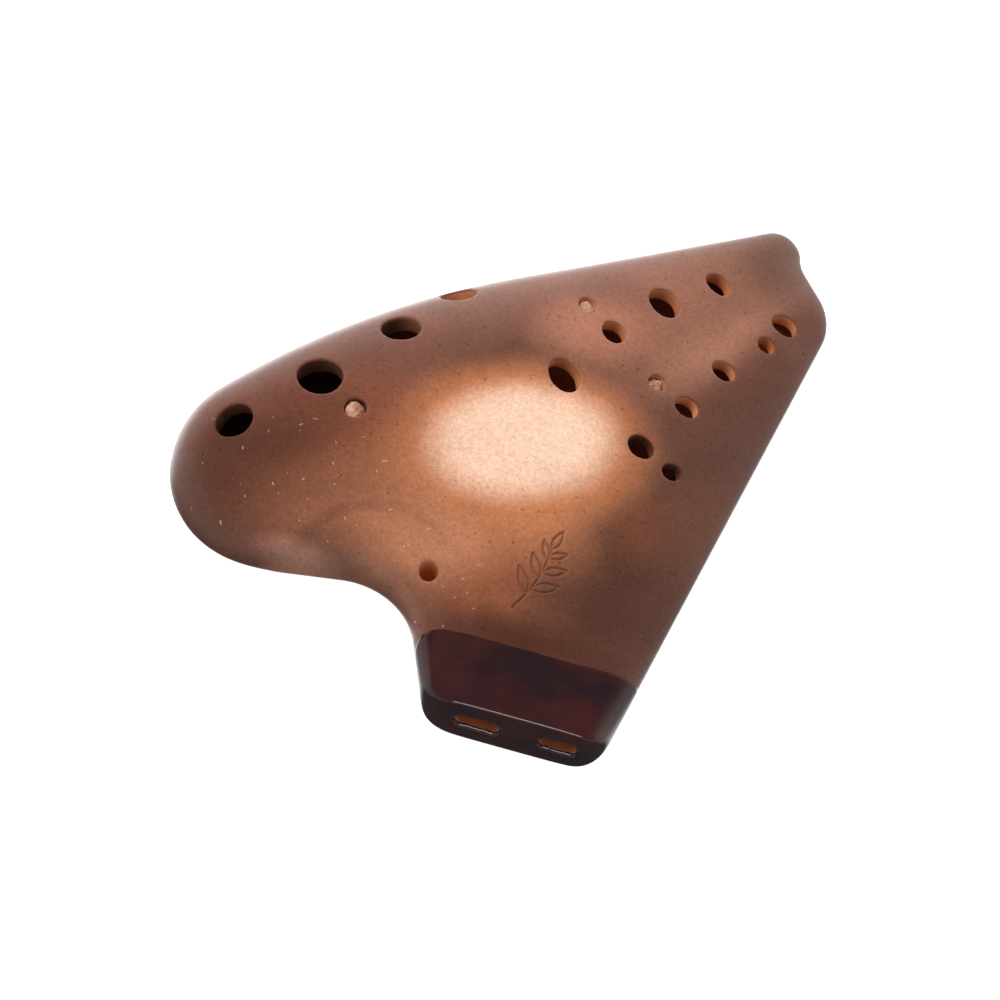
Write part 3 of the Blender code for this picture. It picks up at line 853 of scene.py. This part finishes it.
# ================ pieces
def placed(name, data):
    """A new object in the scene."""
    obj = bpy.data.objects.new(name, data)
    bpy.context.scene.collection.objects.link(obj)
    return obj


def make_object(name, points, faces, material):
    """An object from design millimetres."""
    mesh = bpy.data.meshes.new(name)
    flat = ((points - ORIGIN) * MM).astype(np.float32)
    mesh.vertices.add(len(flat))
    mesh.vertices.foreach_set("co", flat.ravel())
    width = faces.shape[1]
    mesh.loops.add(len(faces) * width)
    mesh.loops.foreach_set("vertex_index", faces.astype(np.int32).ravel())
    mesh.polygons.add(len(faces))
    mesh.polygons.foreach_set("loop_start", np.arange(0, len(faces) * width, width, dtype=np.int32))
    mesh.update(calc_edges=True)
    mesh.materials.append(material)
    return placed(name, mesh)


def read(items, name, kind=np.int32, width=1):
    """One property of a mesh's corners, loops or faces, as an array."""
    flat = np.empty(len(items) * width, kind)
    items.foreach_get(name, flat)
    return flat.reshape(-1, width) if width > 1 else flat


def corners_of(mesh):
    """A mesh's corners in design millimetres."""
    return read(mesh.vertices, "co", np.float32, 3).astype(float) / MM + ORIGIN


def store(mesh, name, values):
    """Keeps a number for each corner, for a material to read."""
    layer = mesh.attributes.new(name, "FLOAT", "POINT")
    layer.data.foreach_set("value", values.astype(np.float32))


def shade(mesh, normals, flat_faces=None):
    """Smooth shading with the true normals, and flat where a face closes a cut."""
    mesh.shade_smooth()
    loops = normals[read(mesh.loops, "vertex_index")]
    if flat_faces is not None:
        counts = read(mesh.polygons, "loop_total")
        facing = read(mesh.polygons, "normal", np.float32, 3)
        which = np.repeat(np.arange(len(counts)), counts)
        closing = flat_faces[which]
        loops[closing] = facing[which[closing]]
    mesh.normals_split_custom_set(loops.tolist())


def halved(obj, keep_side):
    """Cuts an object at the seam, keeps one side and closes the cut."""
    work = bmesh.new()
    work.from_mesh(obj.data)
    plane = Vector(world(0, 0, 0))
    cut = bmesh.ops.bisect_plane(
        work, geom=work.verts[:] + work.edges[:] + work.faces[:], dist=1e-7, plane_co=plane,
        plane_no=(0, 0, keep_side), clear_inner=True,
    )
    edges = [part for part in cut["geom_cut"] if isinstance(part, bmesh.types.BMEdge)]
    bmesh.ops.triangle_fill(work, edges=edges, use_beauty=True, normal=(0, 0, -keep_side))
    work.to_mesh(obj.data)
    work.free()


def twig():
    """Strokes of a plain leafy twig: lines of points on the plan."""
    along = np.linspace(0, 1, 15)[:, None]
    start, end = np.array(TWIG_START), np.array(TWIG_END)
    side = np.array([start[1] - end[1], end[0] - start[0]]) / np.linalg.norm(end - start)

    def stem(share):
        return start + (end - start) * share + side * TWIG_BOW * np.sin(math.pi * share)

    strokes = [stem(along)]
    for share, turn, length in TWIG_LEAVES:
        base = stem(share)
        facing = math.atan2(end[1] - start[1], end[0] - start[0]) + math.radians(turn)
        ahead = np.array([math.cos(facing), math.sin(facing)])
        across = np.array([-ahead[1], ahead[0]])
        for bulge in (1, -1):
            swell = bulge * length * TWIG_LEAF_WIDTH * np.sin(math.pi * along) * (1 - 0.35 * along)
            strokes.append(base + ahead * length * along + across * swell)
    return strokes


def stroke_distance(points, strokes):
    """How far points on the plan are from the nearest stroke."""
    nearest = np.full(len(points), 99.0)
    for line in strokes:
        for first, second in zip(line[:-1], line[1:]):
            run = second - first
            share = np.clip((points - first) @ run / (run @ run), 0, 1)
            away = points - first - share[:, None] * run
            nearest = np.minimum(nearest, np.hypot(away[:, 0], away[:, 1]))
    return nearest


def refined(obj):
    """Splits the faces under the incised twig finely enough to carve it."""
    strokes = twig()
    work = bmesh.new()
    work.from_mesh(obj.data)
    spots = np.array([face.calc_center_median() for face in work.faces]) / MM + ORIGIN
    near = spots[:, 2] > TWIG_LOWEST
    near[near] = stroke_distance(spots[near, :2], strokes) < STROKE_MARGIN
    near &= np.array([face.normal.z for face in work.faces]) > 0.5
    edges = {edge for face, wanted in zip(work.faces, near) if wanted for edge in face.edges}
    bmesh.ops.subdivide_edges(
        work, edges=list(edges), cuts=3, use_grid_fill=True
    )
    work.to_mesh(obj.data)
    work.free()
    return strokes


def carve(obj, grid, field, strokes):
    """Presses the twig's strokes into the clay. Returns how deep each corner went, 0 to 1."""
    places = corners_of(obj.data)
    near = np.flatnonzero(places[:, 2] > TWIG_LOWEST)
    near = near[stroke_distance(places[near, :2], strokes) < CARVE_MARGIN]
    spots = settle(grid, field, places[near])
    outwards = facing_at(grid, field, spots)
    away = stroke_distance(spots[:, :2], strokes)
    groove = np.exp(-((away / STROKE_WIDTH) ** 2))
    lip = np.exp(-(((away - LIP_PLACE * STROKE_WIDTH) / STROKE_WIDTH) ** 2))
    spots += outwards * (STROKE_DEPTH * (LIP_HEIGHT * lip - groove))[:, None]
    places[near] = spots
    obj.data.vertices.foreach_set("co", ((places - ORIGIN) * MM).astype(np.float32).ravel())
    obj.data.update()
    cut = np.zeros(len(places))
    cut[near] = groove
    return near, cut


def clay_bodies():
    """The two half shells, cut out of one body at the seam."""
    grid = Grid((-100.3, -1.7, -13.75), (55.3, 173.5, 22.5), BODY_PITCH)
    outside = outer_field(grid)
    field = smooth_max(outside, CLAY_START - grid.y, 1.2)
    field = np.maximum(field, -hollow_field(grid))
    for side in WINDWAYS:
        middle, width = WINDWAYS[side]
        field = smooth_max(field, -windway_field(grid, side), 0.4)
        window = np.maximum(np.abs(grid.x - middle) - width / 2, grid.z - POCKET_TOP)
        window = np.maximum(window, CAVITY_FRONT - grid.y)
        window = np.maximum(window, grid.y - CAVITY_FRONT - WINDOW_LENGTH - LABIUM_LENGTH)
        field = smooth_max(field, -window, 0.5)
    for seed, hole in enumerate(FINGER_HOLES):
        cut_hole(grid, field, hole, 1, DRILL_DEPTH, seed)
    for seed, hole in enumerate(THUMB_HOLES):
        cut_hole(grid, field, hole, -1, DRILL_DEPTH, THUMB_SEED + seed)
    for seed, hole in enumerate(BLIND_HOLES.values()):
        cut_hole(grid, field, hole, 1, BLIND_DEPTH, BLIND_SEED + seed)
    x, y, diameter = LANYARD_HOLE
    tube = np.sqrt((grid.x - x) ** 2 + (grid.y - y) ** 2) - diameter / 2
    field = smooth_max(field, -tube + 0 * grid.z, 0.9)
    points, faces = surface_of(grid, field)
    halves = (("front_clay", 1, "upper_shell"), ("back_clay", -1, "lower_shell"))
    for name, keep_side, node in halves:
        obj = make_object(name, points, faces, CLAY)
        halved(obj, keep_side)
        near, cut = [], np.zeros(len(obj.data.vertices))
        if keep_side > 0:
            near, cut = carve(obj, grid, field, refined(obj))
        places = corners_of(obj.data)
        normals = facing_at(grid, field, places)
        if len(near):
            normals[near] = read(obj.data.vertex_normals, "vector", np.float32, 3)[near]
        store(obj.data, "incised", cut)
        store(obj.data, "depth", np.maximum(-sample(grid, outside, places), 0))
        at_seam = (np.abs(places[:, 2]) < 1e-3)[read(obj.data.loops, "vertex_index")]
        starts = read(obj.data.polygons, "loop_start")
        shade(obj.data, normals, np.minimum.reduceat(at_seam.astype(np.int8), starts) == 1)
        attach(obj, "root")
        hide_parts(node)


def glaze_edge(x, z):
    """Where the glaze ends, as a distance from the mouthpiece's end face."""
    wave = 0.10 * np.sin(x * 0.31 + 1.0) + 0.06 * np.sin(x * 0.83 + z * 0.4)
    left = smooth_step((-17 - x) / 9) * smooth_step((7 - z) / 9)
    right = smooth_step((x - 2) / 22)
    corner = smooth_step((-21 - x) / 6)
    return GLAZE_LENGTH + GLAZE_RISE * right - GLAZE_SAG * left - 0.8 * corner + wave


def glaze():
    """The skin of glaze round the mouthpiece, rolled thick over the rims of the windways."""
    grid = Grid((-33.0, -1.2, -11.5), (28.5, 23.0, 10.0), GLAZE_PITCH)
    clay = outer_field(grid)
    beyond = glaze_edge(grid.x, grid.z) - grid.y
    lift = np.clip(beyond / GLAZE_FADE, -1, 1) * GLAZE_THICKNESS
    skin = np.maximum(clay - lift, 0.01 - grid.y)
    inner = np.maximum(clay + GLAZE_SKIN, 1.6 - grid.y)
    field = np.maximum(np.maximum(skin, -inner), -beyond - GLAZE_TUCK)
    for side in WINDWAYS:
        slot = windway_field(grid, side, SLOT_SQUEEZE + lumps(grid, side))
        field = smooth_max(field, -slot, GLAZE_ROLL)
    points, faces = surface_of(grid, field)
    obj = make_object("beak_glaze", points, faces, GLAZE)
    shade(obj.data, facing_at(grid, field, points))
    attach(obj, "root")
    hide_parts("mouthpiece")
    return obj


def lumps(grid, side):
    """How unevenly the glaze stands round a windway's rim, in millimetres."""
    middle, _ = WINDWAYS[side]
    turn = np.arctan2((grid.z - WINDWAY_START) * 2, grid.x - middle)
    return 0.10 * np.sin(3 * turn + middle) + 0.08 * np.sin(7 * turn) + 0.05 * np.sin(13 * turn)


def labium(side):
    """The sloping clay tongue whose edge splits the jet of air."""
    middle, width = WINDWAYS[side]
    edge = CAVITY_FRONT + WINDOW_LENGTH
    root = edge + LABIUM_LENGTH
    jet = WINDWAY_START - WINDWAY_DROP
    half = width / 2
    grid = Grid((middle - half - 1, edge - 1, -16), (middle + half + 1, root + 1, -4), LABIUM_PITCH)
    share = (grid.y - edge) / LABIUM_LENGTH
    top = grid.z - (jet + LABIUM_EDGE / 2 + LABIUM_RISE * share)
    depth = float(back_depth(np.array([(middle, root)], float))[0])
    bottom = (jet - LABIUM_EDGE / 2) * (1 - share) - depth * share - grid.z
    field = smooth_max(top * 0.95, bottom * 0.9, 0.5)
    field = np.maximum(field, edge - grid.y)
    field = np.maximum(field, grid.y - root - 0.15)
    field = np.maximum(field, np.abs(grid.x - middle) - half - 0.05)
    field = np.maximum(field, -REST_DEPTH + 0.02 - grid.z)
    points, faces = surface_of(grid, field)
    obj = make_object(f"labium_{side}_clay", points, faces, CLAY)
    store(obj.data, "depth", np.zeros(len(points)))
    store(obj.data, "incised", np.zeros(len(points)))
    obj.data.shade_smooth()
    obj.data.set_sharp_from_angle(angle=math.radians(40))
    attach(obj, "root")
    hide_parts(f"labium_{side}")


def plug(name, seed):
    """A rough lump of pale clay pressed into a blind hole."""
    x, y, long, short, _ = BLIND_HOLES[name]
    spot, normal = surface_point(x, y, 1)
    lump = bmesh.new()
    bmesh.ops.create_icosphere(lump, subdivisions=5, radius=1)
    places = np.array([vertex.co for vertex in lump.verts])
    dice = np.random.default_rng(seed)
    bumps = np.zeros(len(places))
    for rate, size in PLUG_BUMPS:
        for _ in range(5):
            way = dice.normal(size=3)
            way /= np.linalg.norm(way)
            bumps += size * np.sin(places @ way * rate * 2 + dice.uniform(0, 6.3)) / 2
    spread = np.linalg.norm(places[:, :2], axis=1)
    flat = np.sign(places[:, 2]) * np.abs(places[:, 2]) ** PLUG_FLATNESS
    radius = (long + short) / 4 * PLUG_FIT * (1 + 0.5 * bumps)
    height = flat + bumps * PLUG_ROUGHNESS * (1 - spread * 0.4)
    shaped = np.column_stack([places[:, 0] * radius, places[:, 1] * radius, height])
    turn = Vector(normal).to_track_quat("Z", "Y").to_matrix()
    centre = spot - normal * (BLIND_DEPTH - PLUG_SINK)
    points = shaped @ np.array(turn).T + centre
    faces = np.array([[v.index for v in face.verts] for face in lump.faces])
    lump.free()
    obj = make_object(name + "_lump", points, faces, RAW)
    obj.data.shade_smooth()
    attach(obj, "root")
    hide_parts(name)


CLAY = smoked_clay()
RAW = raw_clay()
GLAZE = dark_glaze()

clay_bodies()
BEAK = glaze()
for windway_side in WINDWAYS:
    labium(windway_side)
for number, plug_name in enumerate(BLIND_HOLES):
    plug(plug_name, PLUG_SEED + number)

divider = frame["nodes"]["chamber_divider"]
divider.data.materials.clear()
divider.data.materials.append(RAW)


# ================ floor, lights and camera
CAMERA_PLACE = (-10.376, -292.053, 515.421)
CAMERA_AHEAD = (-0.01222, 0.56753, -0.82326)
CAMERA_UP = (-0.26622, 0.79176, 0.54977)
CAMERA_LENS = 90.8

# How bright the studio is: the white wall behind and beside, overhead, and from below.
SKY_WHITE = 1.0
SKY_DIM = 0.22
SKY_GROUND = 0.16
SKY_FADE = (0.25, 0.65)
SKY_TURN = (-0.45, 0.35)
SKY_PLAYER = 0.6
SKY_SINK = (-0.75, -0.25)
SKY_NORTH = (0.1, 0.5)
SKY_LOW = (-0.15, -0.5)
SKY_TABLE = 1.3
SKY_LEVEL = (-0.2, 0.3)
FLOOR_GLOW = 0.95
FLOOR_REACH = 6.0


def floor():
    """A wide pale sheet."""
    mesh = bpy.data.meshes.new("studio_floor")
    turns = ((-1, -1), (1, -1), (1, 1), (-1, 1))
    corners = [(x * FLOOR_REACH, y * FLOOR_REACH, 0) for x, y in turns]
    mesh.from_pydata(corners, [], [(0, 1, 2, 3)])
    material = bpy.data.materials.new("studio_floor")
    n = Nodes(material)
    tone = n.mix(n.noise(3.0, 2.0), (0.90, 0.90, 0.90, 1), (0.93, 0.93, 0.93, 1))
    n.set(Base_Color=tone, Roughness=0.9, Specular_IOR_Level=0.1)
    n.set(Emission_Color=tone, Emission_Strength=FLOOR_GLOW)
    mesh.materials.append(material)
    obj = placed("studio_floor", mesh)
    obj.visible_diffuse = False
    obj.visible_glossy = False


def softbox(name, place, aim, width, height, power, shines=True, only=()):
    """A soft rectangular lamp at a place, facing a point, mirrored in things if it shines.

    It can be kept to only some objects, as a flag or a screen does in a studio.
    """
    lamp = bpy.data.lights.new(name, "AREA")
    lamp.shape = "RECTANGLE"
    lamp.size, lamp.size_y = width, height
    lamp.energy = power
    obj = placed(name, lamp)
    obj.location = place
    obj.rotation_mode = "QUATERNION"
    obj.rotation_quaternion = (Vector(aim) - Vector(place)).to_track_quat("-Z", "Y")
    obj.visible_glossy = shines
    if only:
        lit = bpy.data.collections.new(name + "_lit")
        for thing in only:
            lit.objects.link(thing)
        obj.light_linking.receiver_collection = lit


def surroundings():
    """A white studio behind the object, dim overhead and dark on the player's side."""
    sky = bpy.data.worlds.new("studio")
    bpy.context.scene.world = sky
    n = Nodes(sky)
    apart = n.new("ShaderNodeSeparateXYZ")
    n.put(n.spaces["Generated"], apart.inputs[0])
    _, y, z = apart.outputs
    above = n.remap(z, *SKY_FADE, 1.0, 0.0)
    behind = n.remap(y, *SKY_TURN, SKY_PLAYER, 1.0)
    north = n.remap(y, *SKY_NORTH)
    lit = n.math("MAXIMUM", n.remap(z, *SKY_SINK), north)
    strength = n.math("MULTIPLY", n.math("MULTIPLY", above, behind), lit)
    strength = n.math("MULTIPLY", strength, SKY_WHITE)
    table = n.math("MULTIPLY", north, n.remap(z, *SKY_LOW, 0.0, SKY_TABLE))
    strength = n.math("ADD", strength, table)
    strength = n.math("ADD", strength, n.remap(z, *SKY_LEVEL, SKY_GROUND, SKY_DIM))
    n.set("Background", Color=(1, 1, 1, 1), Strength=strength)


def camera():
    """The photograph's viewpoint."""
    data = bpy.data.cameras.new("camera")
    data.sensor_width = 36
    data.lens = CAMERA_LENS
    data.clip_start, data.clip_end = 0.01, 50
    obj = placed("camera", data)
    ahead = Vector(CAMERA_AHEAD).normalized()
    right = ahead.cross(Vector(CAMERA_UP)).normalized()
    up = right.cross(ahead)
    turn = Matrix((right, up, -ahead)).transposed().to_4x4()
    obj.matrix_world = Matrix.Translation(world(*CAMERA_PLACE)) @ turn
    bpy.context.scene.camera = obj


floor()
surroundings()
softbox("key", (-0.48, 0.22, 1.05), (0, 0, 0), 0.55, 0.45, 15, shines=False)
softbox("gleam", (0.0, -0.52, 0.95), (0, 0, 0), 0.9, 0.45, 16, only=[BEAK])
camera()
bpy.context.scene.view_settings.view_transform = "Standard"
